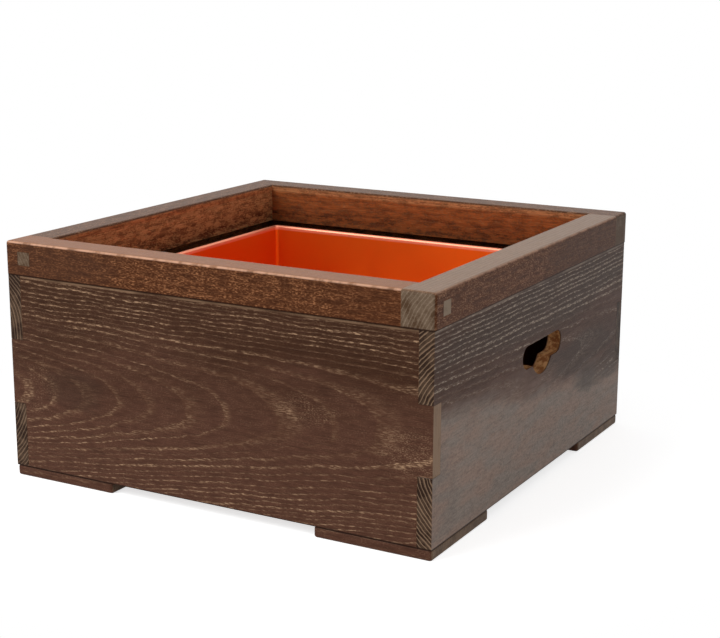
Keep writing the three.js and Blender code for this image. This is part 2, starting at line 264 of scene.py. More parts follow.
class Tree:
    """A material's nodes, with short calls that add a node and join it to the ones before."""

    def __init__(self, name):
        self.material = bpy.data.materials.new(name)
        self.material.use_nodes = True
        self.nodes = self.material.node_tree.nodes
        self.links = self.material.node_tree.links
        self.shader = self.nodes["Principled BSDF"]

    def put(self, value, socket):
        if isinstance(value, bpy.types.NodeSocket):
            self.links.new(value, socket)
        elif value is not None:
            socket.default_value = value

    def math(self, operation, a, b=None, c=None):
        node = self.nodes.new("ShaderNodeMath")
        node.operation = operation
        for value, socket in zip((a, b, c), node.inputs):
            self.put(value, socket)
        return node.outputs[0]

    def plus(self, a, b):
        return self.math("ADD", a, b)

    def minus(self, a, b):
        return self.math("SUBTRACT", a, b)

    def divide(self, a, b):
        return self.math("DIVIDE", a, b)

    def absolute(self, value):
        return self.math("ABSOLUTE", value)

    def scaled(self, value, factor, added):
        """The value times the factor, and something added."""
        return self.math("MULTIPLY_ADD", value, factor, added)

    def product(self, *values):
        total = values[0]
        for value in values[1:]:
            total = self.math("MULTIPLY", total, value)
        return total

    def coordinates(self, output):
        """The parts of the Object place, in millimetres, or of the Normal."""
        coordinates = self.nodes.new("ShaderNodeTexCoord")
        split = self.nodes.new("ShaderNodeSeparateXYZ")
        self.links.new(coordinates.outputs[output], split.inputs[0])
        if output == "Normal":
            return tuple(split.outputs)
        return tuple(self.math("MULTIPLY", part, 1 / MM) for part in split.outputs)

    def vector(self, x, y, z):
        node = self.nodes.new("ShaderNodeCombineXYZ")
        for value, socket in zip((x, y, z), node.inputs):
            self.put(value, socket)
        return node.outputs[0]

    def noise(self, place, sizes, seed, detail=2.0):
        """Soft noise whose lumps have these sizes along the place's three parts."""
        x, y, z = (self.divide(part, size) for part, size in zip(place, sizes))
        node = self.nodes.new("ShaderNodeTexNoise")
        self.links.new(self.vector(x, y, self.plus(z, seed)), node.inputs["Vector"])
        node.inputs["Scale"].default_value = 1.0
        node.inputs["Detail"].default_value = detail
        return node.outputs["Fac"]

    def step(self, value, low, high, bottom=0.0, top=1.0):
        """A smooth change from bottom to top as the value goes from low to high."""
        node = self.nodes.new("ShaderNodeMapRange")
        node.interpolation_type = "SMOOTHSTEP"
        for number, socket in zip((value, low, high, bottom, top), node.inputs):
            self.put(number, socket)
        return node.outputs[0]

    def mix(self, factor, a, b):
        node = self.nodes.new("ShaderNodeMix")
        node.data_type = "RGBA"
        self.put(factor, node.inputs["Factor"])
        for value, socket in zip((a, b), (node.inputs[6], node.inputs[7])):
            self.put(value if isinstance(value, bpy.types.NodeSocket) else tuple(value), socket)
        return node.outputs[2]

    def bump(self, height, distance, strength=1.0):
        node = self.nodes.new("ShaderNodeBump")
        node.inputs["Strength"].default_value = strength
        node.inputs["Distance"].default_value = distance
        self.put(height, node.inputs["Height"])
        self.links.new(node.outputs[0], self.shader.inputs["Normal"])

    def set(self, **sockets):
        """Values or links for the shader's own sockets, with _ for a space in their names."""
        for name, value in sockets.items():
            self.put(value, self.shader.inputs[name.replace("_", " ")])


def blend(a, b, part):
    """A colour this far from a to b."""
    return tuple(low + (high - low) * part for low, high in zip(a, b))


class Wood(Tree):
    """Ring-porous wood, burnt and brushed, its open pores filled with a pale paste."""

    def __init__(self, name, side, half, cut, finish, seed):
        super().__init__(name)
        self.cut, self.finish, self.seed = cut, finish, seed
        self.set_out(side, half)
        self.rings = self.growth_rings()
        self.early = self.early_wood()
        self.pores = self.grain(PORE_SIZES, 0, detail=1.5)
        self.specks = self.grain(tuple(finish.speck * size for size in SPECK_SHAPE), 31)
        self.fibres = self.grain(FIBRE_SIZES, 3, detail=3.0)
        self.patches = self.grain(PATCH_SIZES, 5, detail=3.0)
        self.mottle = self.grain(MOTTLE_SIZES, 23)
        self.tone = self.minus(self.grain(TONE_SIZES, 11), 0.5)
        self.held, self.deep = self.unlike_places()
        # Where the face is smooth a grey sheen is painted, and the paste, soft wood, fibres and relief show
        # less
        self.smooth = self.smooth_sheen_area()
        self.rough = self.scaled(self.smooth, -0.85, 1.0)
        self.filled = self.paste_share()
        self.colour_all()

    def set_out(self, side, half):
        """Along, height and depth in the board, the depth from its outer face, and its ends and top."""
        x, y, z = self.coordinates("Object")
        normal_x, normal_y, normal_z = self.coordinates("Normal")
        along, outward, end = (x, y, normal_x) if side in ("front", "back") else (y, x, normal_y)
        if side in ("back", "left"):
            along = self.product(along, -1.0)
        depth = self.scaled(outward, 1.0 if side in ("front", "left") else -1.0, half / MM)
        self.along, self.height, self.depth = along, z, depth
        self.end = self.step(self.absolute(end), *FACING)
        self.top = self.step(normal_z, *FACING)

    def grain(self, sizes, offset, detail=2.0):
        """Noise over the board, with an offset that makes each pattern its own."""
        return self.noise((self.along, self.height, self.depth), sizes, self.seed + offset, detail)

    def along_line(self, value, size, offset, detail=2.0):
        """Noise that follows one value alone."""
        return self.noise((value, 0.0, 0.0), (size, 1.0, 1.0), self.seed + offset, detail)

    def growth_rings(self):
        """How many rings lie between the heart's line on the board and this place."""
        cut = self.cut
        reached = self.minus(self.along, cut.start)
        waver = self.minus(self.grain(WAVER_SIZES, 0), 0.5)
        ripple = self.minus(self.grain(RIPPLE_SIZES, 7), 0.5)
        rise = self.minus(self.height, self.scaled(reached, cut.drift, cut.level))
        rise = self.scaled(waver, cut.waver, rise)
        restless = self.step(self.absolute(rise), 15.0, 50.0, NEAR_RIPPLE, FAR_RIPPLE)
        rise = self.plus(self.product(ripple, restless), rise)
        away = self.scaled(self.depth, cut.outside, cut.heart)
        squares = self.plus(self.product(rise, rise), self.product(away, away))
        fading = self.math("EXPONENT", self.divide(reached, -TAPER_REACH))
        opened = self.scaled(fading, -cut.taper * TAPER_REACH, cut.taper * TAPER_REACH)
        kept = self.step(rise, 0.0, FLAT_RISE, 1.0, 1.0 - cut.flat)
        radius = self.plus(self.math("SQRT", squares), self.product(opened, kept))
        rings = self.scaled(radius, 1 / RING_WIDTH, -cut.heart / RING_WIDTH)
        return self.scaled(self.minus(self.along_line(rings, 1.7, 19), 0.5), RING_UNEVENNESS, rings)

    def early_wood(self):
        """1 in each ring's soft wood, which is wide in some rings and narrow in others."""
        phase = self.math("FRACT", self.rings)
        width = self.step(self.along_line(self.rings, 1.3, 41), 0.35, 0.65, 0.3, 0.62)
        return self.product(self.step(phase, 0.0, 0.07), self.step(phase, width, 0.12))

    def unlike_places(self):
        """How many times the paste is held here, and how far it is darker, in the cut's places."""
        held, deep = 1.0, 0.0
        ragged = self.scaled(self.patches, 1.4, -0.7)
        for spot in self.cut.places:
            x = self.divide(self.minus(self.along, spot.along), spot.reach)
            y = self.divide(self.minus(self.height, spot.height), spot.rise)
            away = self.scaled(y, y, self.scaled(x, x, ragged))
            held = self.product(held, self.step(away, 1.0, 0.2, 1.0, spot.paste))
            deep = self.math("MAXIMUM", deep, self.step(away, 1.0, 0.2, 0.0, spot.deep))
        return held, deep

    def smooth_sheen_area(self):
        """1 where the face is planed smooth and a grey sheen is painted, below a line that falls along the
        board.
        """
        falling = self.scaled(self.along, SMOOTH_FALL, self.height)
        falling = self.scaled(self.tone, SMOOTH_WANDER, falling)
        line = self.cut.smooth + self.cut.start * SMOOTH_FALL
        return self.step(falling, line + SMOOTH_BLUR, line - SMOOTH_BLUR)

    def paste_share(self):
        """How much paste is here: most in the soft wood's pores and towards the board's long edges."""
        cut, finish = self.cut, self.finish
        quiet_height, quiet_from, quiet_to, quiet_share = cut.quiet
        middle = self.absolute(self.minus(self.height, quiet_height))
        edges = self.step(middle, quiet_from, quiet_to, quiet_share, 1.0)
        stayed = self.step(self.patches, 0.34, 0.62, finish.filler_least, finish.filler_most)
        broken = self.step(self.mottle, 0.38, 0.56, 0.45, 1.1)
        open_rings = self.step(self.along_line(self.rings, 1.1, 61), 0.35, 0.62, 0.4, 1.2)
        # Less paste shows where the face is smooth and the grey sheen is painted
        amount = self.product(stayed, edges, self.rough, cut.paste, self.held, broken, open_rings)
        dashes = self.step(self.specks, 0.6, 0.7, 0.0, 0.6)
        dashes = self.math("MAXIMUM", self.step(self.pores, 0.49, 0.6), dashes)
        filled = self.product(self.early, self.scaled(dashes, 0.9, 0.1), amount)
        spread = self.step(self.mottle, 0.34, 0.66, 0.2, 1.0)
        brushed = self.scaled(self.smooth, -0.5, 1.0)
        stray = self.step(self.specks, 0.48, 0.64)
        stray = self.product(stray, spread, finish.stray_filler, brushed, self.held)
        return self.math("MINIMUM", self.math("MAXIMUM", filled, stray), MOST_PASTE)

    def burnt_face(self):
        """The brown of the burnt face, and a grey sheen painted where it is planed smooth."""
        finish = self.finish
        shade = self.scaled(self.tone, 160.0, self.height)
        base = self.mix(self.step(shade, 185.0, 65.0), finish.dark, finish.warm)
        # Painted sheen: a grey reflection painted into the colour below the smooth line, with warmer places
        # and darker pores
        painted_sheen = self.mix(self.step(self.patches, 0.35, 0.65), finish.painted_sheen, finish.warm_painted_sheen)
        grit = self.step(self.grain(GRIT_SIZES, 71, detail=3.0), 0.64, 0.36, 0.0, 0.3)
        painted_sheen = self.mix(self.product(grit, self.held), painted_sheen, finish.painted_sheen_pores)
        base = self.mix(self.smooth, base, painted_sheen)
        # The soft wood and the dark fibres show less in the painted sheen
        base = self.mix(self.product(self.early, 0.35, self.rough), base, finish.early)
        base = self.mix(self.step(self.mottle, 0.58, 0.3, 0.0, finish.mottle), base, finish.char)
        dark_fibres = self.step(self.fibres, 0.38, 0.72, 0.0, finish.fibre_depth)
        base = self.mix(self.product(dark_fibres, self.scaled(self.smooth, -0.6, 1.0)), base, finish.char)
        return self.mix(self.deep, base, finish.deep)

    def top_edge_highlight(self):
        """A painted highlight, in the paste's colour, along the outer face's top edge."""
        low, low_full, high_full, high = TOP_HIGHLIGHT_HEIGHTS
        line = self.product(self.step(self.height, low, low_full), self.step(self.height, high, high_full))
        broken = self.step(self.patches, 0.35, 0.6, 0.2, 1.0)
        return self.product(line, self.step(self.depth, 1.4, 0.6), broken, self.finish.top_edge_highlight)

    def lit_and_used_top(self):
        """The top face's paler colour: painted light, and use."""
        tone = blend(self.finish.lit_top_tone, self.finish.top_sheen_grey, self.cut.grey)
        return self.mix(self.product(self.early, 0.4), tone, self.finish.warm)

    def sawn_end(self):
        """End grain, as pale and as clearly ringed as the cut says."""
        level = self.step(self.along, -1.0, 1.0, self.cut.near_end[0], self.cut.far_end[0])
        hatch = self.step(self.along, -1.0, 1.0, self.cut.near_end[1], self.cut.far_end[1])
        marks = self.scaled(self.early, hatch, level)
        marks = self.scaled(self.step(self.specks, 0.4, 0.7), 0.2, marks)
        clouds = self.step(self.patches, 0.38, 0.62, -0.5, 0.5)
        clouds = self.plus(clouds, self.step(self.mottle, 0.35, 0.65, -0.15, 0.15))
        marks = self.scaled(clouds, self.finish.end_mottle, marks)
        return self.mix(marks, self.finish.end_dark, self.finish.end_pale)

    def worn_edge_highlight(self):
        """Above 0 along the top outer edge, in runs: wear, and a painted highlight."""
        top = self.finish.top
        edge = self.product(self.step(self.depth, 2.3, 1.0), self.step(self.height, top - 2.1, top - 1.0))
        runs = self.along_line(self.along, 13.0, 51, detail=3.0)
        return self.product(edge, self.step(runs, 0.38, 0.56, 0.35, 1.0), self.finish.wear_and_highlight * self.cut.worn)

    def seam_shade(self):
        """1 in the narrow seams where the frame and the feet meet the boards, where shade is painted."""
        gaps = (self.absolute(self.minus(self.height, level)) for level in SEAMS)
        return self.math("MAXIMUM", *(self.step(gap, 1.2, 0.5) for gap in gaps))

    def hand_hole(self):
        """1 on the sawn walls of a side board's hand hole."""
        return self.product(
            self.step(self.absolute(self.along), HOLE_REACH, HOLE_REACH - 1.0),
            self.step(self.height, HOLE_LOW, HOLE_LOW + 1.0),
            self.step(self.height, HOLE_HIGH, HOLE_HIGH - 1.0),
            self.step(self.depth, 0.5, 1.4),
            self.step(self.depth, BOARD_THICKNESS - 0.4, BOARD_THICKNESS - 1.2),
        )

    def sawn_wall(self):
        """Bare wood, torn by the saw."""
        torn = self.grain(TORN_SIZES, 2, detail=3.0)
        return self.mix(self.step(torn, 0.38, 0.62), self.finish.sawn_dark, self.finish.sawn_pale)

    def inner_face(self, paleness):
        """The barely burnt inner face, paler along its top edge, and darker in burnt flecks and, as painted
        shade, lower down.
        """
        finish = self.finish
        near_rim = self.step(self.height, finish.top - 8.0, finish.top - 5.0)
        # Painted shade: the inner face darker lower down
        low_shade = self.step(self.height, finish.top - 10.0, finish.top - 36.0, 0.0, 0.4)
        flecks = self.step(self.plus(self.specks, self.mottle), 0.86, 1.18)
        flecks = self.scaled(self.early, 0.3, flecks)
        inner = self.mix(near_rim, blend(finish.inner, finish.inner_pale, paleness), finish.inner_rim)
        inner = self.mix(self.step(self.specks, 0.5, 0.64, 0.0, 0.4), inner, finish.inner_rim)
        inner = self.mix(self.scaled(flecks, 0.55, low_shade), inner, finish.inner_burnt_and_shade)
        return self.mix(self.step(self.fibres, 0.42, 0.68, 0.0, 0.5), inner, finish.inner_burnt_and_shade)

    def colour_all(self):
        """Lays the parts over each other and sets the shader's sockets."""
        cut, finish = self.cut, self.finish
        # The paste is greyed where a grey sheen is painted on it
        paste = blend(finish.filler, finish.sheen_grey_filler, cut.grey)
        colour = self.mix(self.filled, self.burnt_face(), paste)
        # A painted highlight along the outer face's top edge, in the paste's colour
        if finish.top_edge_highlight:
            colour = self.mix(self.top_edge_highlight(), colour, paste)
        # The top face's paler colour: painted light, and use
        colour = self.mix(self.product(self.top, finish.top_light_and_wear * cut.rubbed), colour, self.lit_and_used_top())
        colour = self.mix(self.end, colour, self.sawn_end())
        # Wear and a painted highlight along the top outer edge
        colour = self.mix(self.worn_edge_highlight(), colour, finish.worn)
        # Painted shade in the seams under the frame and over the feet
        colour = self.mix(self.product(self.seam_shade(), 0.85), colour, finish.char)
        if cut.holed:
            colour = self.mix(self.hand_hole(), colour, self.sawn_wall())
        # The inner face's own colour; on the rails a painted glow of light from the copper, paler on the
        # left rail as painted light
        inner_share, paleness = cut.inner
        inside = self.step(self.depth, finish.inside, finish.inside + 0.4, 0.0, inner_share)
        colour = self.mix(inside, colour, self.inner_face(paleness))
        gloss = self.step(self.fibres, 0.3, 0.7, finish.roughness - 0.05, finish.roughness + 0.07)
        self.set(Base_Color=colour, Roughness=gloss, IOR=finish.gloss_index)
        if finish.top_light_and_wear:
            self.set(Coat_Weight=self.product(self.top, finish.top_polish * cut.rubbed), Coat_Roughness=0.25)
        relief = self.scaled(self.early, -0.5, self.product(self.fibres, 0.5))
        relief = self.scaled(self.filled, 0.35, relief)
        self.bump(self.product(relief, self.rough), finish.relief * MM, 0.8)


def copper_sheet(name, look):
    """Satin copper with slow clouds and faint rolling marks, with painted shade towards the left wall and on
    the outside, and paler along the rim: rubbed copper and a painted highlight.
    """
    tree = Tree(name)
    place = tree.coordinates("Object")
    clouds = tree.noise(place, COPPER_CLOUD_SIZES, 1.0, detail=3.0)
    top = LINER_HIGH.z / MM
    rim = tree.step(place[2], top - 5.2, top - 3.6)
    sheet = tree.mix(tree.step(clouds, 0.3, 0.7), look.copper_colour, look.tarnish_colour)
    # Painted shade towards the left wall
    sheet = tree.mix(tree.step(place[0], *LEFT_SHADE_REACH, 0.0, LEFT_SHADE_SHARE), sheet, look.shaded_left_colour)
    # Outside faces look away from the liner's middle, and inside ones towards it
    normal = tree.coordinates("Normal")
    x, y, z = (tree.product(part, turned) for part, turned in zip(place, normal))
    outwards = tree.scaled(normal[2], -top / 2, tree.plus(tree.plus(x, y), z))
    # Painted shade on the outside faces
    sheet = tree.mix(tree.step(outwards, 10.0, 40.0), sheet, look.shaded_outer_colour)
    gloss = tree.step(clouds, 0.3, 0.7, look.roughness - 0.03, look.roughness + 0.05)
    gloss = tree.scaled(rim, 0.1, gloss)
    # Rubbed copper and a painted highlight along the rim
    tree.set(Base_Color=tree.mix(rim, sheet, look.rim_highlight_colour), Metallic=1.0, Roughness=gloss)
    tree.bump(tree.noise(place, ROLLING_MARK_SIZES, 9.0), 0.1 * MM, 0.2)
    return tree.material


def screw_steel(name):
    """Plain steel with fine marks and darker spots."""
    tree = Tree(name)
    marks = tree.noise(tree.coordinates("Object"), STEEL_MARK_SIZES, 2.0, detail=3.0)
    colour = tree.mix(tree.step(marks, 0.35, 0.7), PLAIN_STEEL, SPOTTED_STEEL)
    tree.set(Base_Color=colour, Metallic=1.0, Roughness=tree.step(marks, 0.3, 0.7, 0.3, 0.46))
    tree.bump(marks, 0.05 * MM, 0.3)
    return tree.material


def ease_edges(node, width):
    """Small eased edges on a CAD node, whose mesh is loose triangles until they are welded."""
    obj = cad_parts[node]
    weld = obj.modifiers.new("weld", "WELD")
    weld.merge_threshold = WELD_REACH
    bevel = obj.modifiers.new("eased_edges", "BEVEL")
    bevel.width = width
    bevel.segments = EASING_SEGMENTS
    bevel.limit_method = "ANGLE"
    bevel.angle_limit = math.radians(EASING_ANGLE)


def give(node, material):
    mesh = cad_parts[node].data
    mesh.materials.clear()
    mesh.materials.append(material)
    for polygon in mesh.polygons:
        polygon.material_index = 0


def colour(name, description, red, green, blue):
    default = linear(red, green, blue)
    return bpy.props.FloatVectorProperty(
        name=name, description=description, default=default, subtype="COLOR", size=4, min=0, max=1
    )


def share(name, description, default):
    return bpy.props.FloatProperty(name=name, description=description, default=default, min=0, max=1)


def distance(name, description, default):
    default *= MM
    return bpy.props.FloatProperty(
        name=name, description=description, default=default, subtype="DISTANCE", unit="LENGTH", precision=4
    )


def number(name, description, default):
    return bpy.props.FloatProperty(name=name, description=description, default=default)


def watts(name, description, default):
    return bpy.props.FloatProperty(name=name, description=description, default=default, min=0, unit="POWER")


def millimetres(name, description, default):
    return bpy.props.FloatProperty(name=name, description=f"{description}, in millimetres", default=default)


class WoodFinish:
    """What every wood finish has, with the values of a plain one."""

    # Wear and a painted highlight along the top outer edge
    wear_and_highlight: share("Wear", "How pale the top outer edge is rubbed", 0.0)
    top: millimetres("Top", "Height of the edge that is rubbed", 217.5)
    worn: colour("Worn edge", "Rubbed wood along the edge", 226, 178, 150)
    inside: millimetres("Inside", "Depth from the outer face where the inner face starts", 1000.0)
    inner: colour("Inner face", "Barely burnt face inside the box", 186, 118, 70)
    inner_rim: colour("Inner rim", "Its colour near the top edge", 186, 118, 70)
    inner_pale: colour("Pale inner face", "Its colour where it is paler", 206, 160, 108)
    # Burnt flecks and fibres of the inner face, and its painted shade lower down
    inner_burnt_and_shade: colour("Burnt inner face", "Its colour where it is burnt", 72, 40, 22)
    sawn_dark: colour("Sawn wood", "Bare wood in the hand holes", 144, 92, 54)
    sawn_pale: colour("Sawn wood pale", "Paler bare wood in the hand holes", 204, 154, 104)
    # A grey sheen painted into the colour where the face is smooth, its warmer places and its pores
    painted_sheen: colour("Bloom", "Grey sheen of the wax where the face is smooth", 157, 142, 131)
    warm_painted_sheen: colour("Warm bloom", "Its warmer places", 168, 141, 126)
    painted_sheen_pores: colour("Bloom pores", "Pores that the sheen leaves out", 98, 86, 78)
    # The top face's paler colour, painted light and use, greyer where a grey sheen is painted
    top_light_and_wear: share("Top wear", "How far the top face has the colour of use", 0.0)
    lit_top_tone: colour("Top face", "Colour of use on the top face", 186, 118, 68)
    top_sheen_grey: colour("Grey top face", "Its colour where the wax has greyed", 172, 140, 112)
    top_polish: share("Top polish", "Weight of the polish on the top face", 0.2)
    speck: millimetres("Speck", "Size of the smallest pores", 0.7)
    deep: colour("Deep", "Its places that are darker", 56, 42, 34)
    # The paste where a grey sheen is painted on it
    sheen_grey_filler: colour("Grey filler", "The paste where it has greyed", 176, 158, 140)
    # A painted highlight along the outer face's top edge, in the paste's colour
    top_edge_highlight: share("Top line", "Paste along the outer face's top edge", 0.0)
    end_mottle: share("End mottling", "How uneven the sawn ends are", 0.25)
    mottle: share("Mottling", "How much darker the mottled places are", 0.15)
    roughness: share("Roughness", "Of the waxed face", 0.42)


class HearthBoardWood(WoodFinish, bpy.types.PropertyGroup):
    dark: colour("Dark", "Dark brown of the boards", 71, 43, 28)
    warm: colour("Warm", "Redder brown of the boards", 97, 63, 49)
    early: colour("Early wood", "Soft wood that grew in spring", 100, 65, 47)
    char: colour("Char", "Darkest fibres", 42, 23, 14)
    filler: colour("Filler", "Pale paste in the pores", 184, 148, 116)
    end_dark: colour("End grain", "Sawn ends, hard wood", 50, 34, 25)
    end_pale: colour("End grain pale", "Sawn ends, soft wood", 150, 122, 98)
    # A painted highlight along the outer face's top edge
    top_edge_highlight: share("Top line", "Paste along the outer face's top edge", 0.4)
    inside: millimetres("Inside", "Depth from the outer face where the inner face starts", 13.2)
    filler_least: share("Least filler", "Where the paste was rubbed off", 0.45)
    filler_most: share("Most filler", "Where the paste stayed", 1.0)
    stray_filler: share("Stray filler", "Paste outside the rings' pores", 0.14)
    fibre_depth: share("Fibres", "How dark the fibres are", 0.55)
    gloss_index: number("Gloss", "Refractive index of the wax", 1.15)
    relief: millimetres("Relief", "Depth of the brushing", 0.35)
    easing: distance("Easing", "Width of the eased edges", 0.7)


class HearthFrameWood(WoodFinish, bpy.types.PropertyGroup):
    dark: colour("Dark", "Brown of the rails", 95, 54, 31)
    warm: colour("Warm", "Warmer brown of the rails", 113, 65, 37)
    early: colour("Early wood", "Soft wood that grew in spring", 116, 68, 42)
    char: colour("Char", "Darkest fibres", 44, 20, 9)
    filler: colour("Filler", "Pale paste in the pores", 190, 130, 88)
    speck: millimetres("Speck", "Size of the smallest pores", 1.05)
    # Wear and a painted highlight along the top outer edge
    wear_and_highlight: share("Wear", "How pale the top outer edge is rubbed", 0.9)
    worn: colour("Worn edge", "Rubbed wood along the edge", 240, 186, 154)
    # The top face's paler colour is painted light and use
    top_light_and_wear: share("Top wear", "How far the top face has the colour of use", 0.65)
    inside: millimetres("Inside", "Depth from the outer face where the inner face starts", 29.6)
    # The warmer inner face is a painted glow of light from the copper
    inner: colour("Inner face", "Warmer face inside the frame", 168, 98, 52)
    inner_rim: colour("Inner rim", "Its colour near the top edge", 206, 146, 96)
    deep: colour("Deep", "Its places that are darker", 78, 54, 42)
    # The paste where a grey sheen is painted on it
    sheen_grey_filler: colour("Grey filler", "The paste where it has greyed", 176, 132, 100)
    end_mottle: share("End mottling", "How uneven the sawn ends are", 0.4)
    end_dark: colour("End grain", "Sawn ends, hard wood", 88, 66, 48)
    mottle: share("Mottling", "How much darker the mottled places are", 0.4)
    end_pale: colour("End grain pale", "Sawn ends, soft wood", 150, 130, 110)
    filler_least: share("Least filler", "Where the paste was rubbed off", 0.1)
    filler_most: share("Most filler", "Where the paste stayed", 0.5)
    stray_filler: share("Stray filler", "Paste outside the rings' pores", 0.7)
    fibre_depth: share("Fibres", "How dark the fibres are", 0.6)
    gloss_index: number("Gloss", "Refractive index of the wax", 1.13)
    relief: millimetres("Relief", "Depth of the brushing", 0.2)
    easing: distance("Easing", "Width of the eased edges", 0.5)


class HearthRawWood(WoodFinish, bpy.types.PropertyGroup):
    dark: colour("Dark", "Brown of the raw wood", 150, 108, 70)
    warm: colour("Warm", "Paler brown of the raw wood", 176, 134, 92)
    early: colour("Early wood", "Soft wood that grew in spring", 132, 92, 58)
    char: colour("Char", "Darkest fibres", 104, 70, 44)
    filler: colour("Pores", "Open pores", 112, 78, 50)
    end_dark: colour("End grain", "Sawn ends, hard wood", 120, 86, 56)
    end_pale: colour("End grain pale", "Sawn ends, soft wood", 160, 122, 84)
    filler_least: share("Least pores", "Fewest open pores", 0.2)
    filler_most: share("Most pores", "Most open pores", 0.7)
    stray_filler: share("Stray pores", "Pores outside the rings' soft wood", 0.1)
    fibre_depth: share("Fibres", "How dark the fibres are", 0.4)
    gloss_index: number("Gloss", "Refractive index of the bare face", 1.3)
    relief: millimetres("Relief", "Depth of the grain", 0.2)


class HearthCopper(bpy.types.PropertyGroup):
    copper_colour: colour("Copper", "Colour of the liner", 255, 140, 44)
    tarnish_colour: colour("Tarnish", "Colour of its clouds", 252, 128, 36)
    # Painted shade towards the left wall
    shaded_left_colour: colour("Aged", "Darker copper towards the left wall", 230, 122, 34)
    # Painted shade on the outside of the liner
    shaded_outer_colour: colour("Outside", "Copper of the outside, dull from the heat", 168, 92, 58)
    # Rubbed copper and a painted highlight along the rim
    rim_highlight_colour: colour("Rim", "Rubbed copper along the rim", 250, 164, 132)
    roughness: share("Roughness", "Of the copper", 0.41)
    sheet: distance("Sheet", "Thickness of the sheet", 1.2)
    rim_radius: distance("Rim radius", "Of the rolled rim", 2.3)
    corner_radius: distance("Corner radius", "Of the upright corners", 5.0)
    floor_bend: distance("Floor bend", "Radius where the walls meet the floor", 1.5)


class HearthStage(bpy.types.PropertyGroup):
    floor_colour: colour("Floor", "Colour of the floor", 243, 243, 243)
    floor_glow: share("Floor glow", "How much of the floor's white near the hearth is its own", 0.7)
    key_power: watts("Key light", "Power of the large lamp at the front left", 46.0)
    fill_power: watts("Fill light", "Power of the soft lamp at the right", 3.0)
    room_light: number("Room light", "Strength of the room's light", 0.35)


class HEARTH_OT_boards(bpy.types.Operator):
    """Finish the four boards of the box"""

    bl_idname = "hearth.boards"
    bl_label = "Finish boards"

    def execute(self, context):
        finish = context.scene.hearth_board_wood
        for seed, side in enumerate(SIDES):
            ease_edges(f"{side}_board", finish.easing)
            burnt = Wood(f"burnt_{side}", side, BOX_HALF, BOARD_CUTS[side], finish, 3.0 + 11.0 * seed)
            give(f"{side}_board", burnt.material)
        return {"FINISHED"}


class HEARTH_OT_frame_rails(bpy.types.Operator):
    """Finish the four rails of the loose frame"""

    bl_idname = "hearth.frame_rails"
    bl_label = "Finish frame rails"

    def execute(self, context):
        finish = context.scene.hearth_frame_wood
        for seed, side in enumerate(SIDES):
            ease_edges(f"frame_rail_{side}", finish.easing)
            waxed = Wood(f"waxed_{side}_rail", side, FRAME_HALF, RAIL_CUTS[side], finish, 5.0 + 13.0 * seed)
            give(f"frame_rail_{side}", waxed.material)
        return {"FINISHED"}


class HEARTH_OT_feet(bpy.types.Operator):
    """Finish the four feet"""

    bl_idname = "hearth.feet"
    bl_label = "Finish feet"

    def execute(self, context):
        finish = context.scene.hearth_board_wood
        for seed, node in enumerate(FEET):
            burnt = Wood(f"burnt_{node}", "front", BOX_HALF, FOOT_CUT, finish, 60.0 + 9.0 * seed)
            give(node, burnt.material)
        return {"FINISHED"}


class HEARTH_OT_inner_wood(bpy.types.Operator):
    """Finish the bottom board and the strips that keep the liner central"""

    bl_idname = "hearth.inner_wood"
    bl_label = "Finish inner wood"

    def execute(self, context):
        finish = context.scene.hearth_raw_wood
        give("bottom_board", Wood("raw_bottom", "front", BOX_HALF, RAW_CUT, finish, 2.0).material)
        for seed, side in enumerate(SIDES):
            raw = Wood(f"raw_{side}_strip", side, BOX_HALF, RAW_CUT, finish, 7.0 + 5.0 * seed)
            give(f"liner_stop_{side}", raw.material)
        return {"FINISHED"}


class HEARTH_OT_screws(bpy.types.Operator):
    """Finish the screws of the feet"""

    bl_idname = "hearth.screws"
    bl_label = "Finish screws"

    def execute(self, context):
        steel = screw_steel("screw_steel")
        for node in SCREWS:
            give(node, steel)
        return {"FINISHED"}


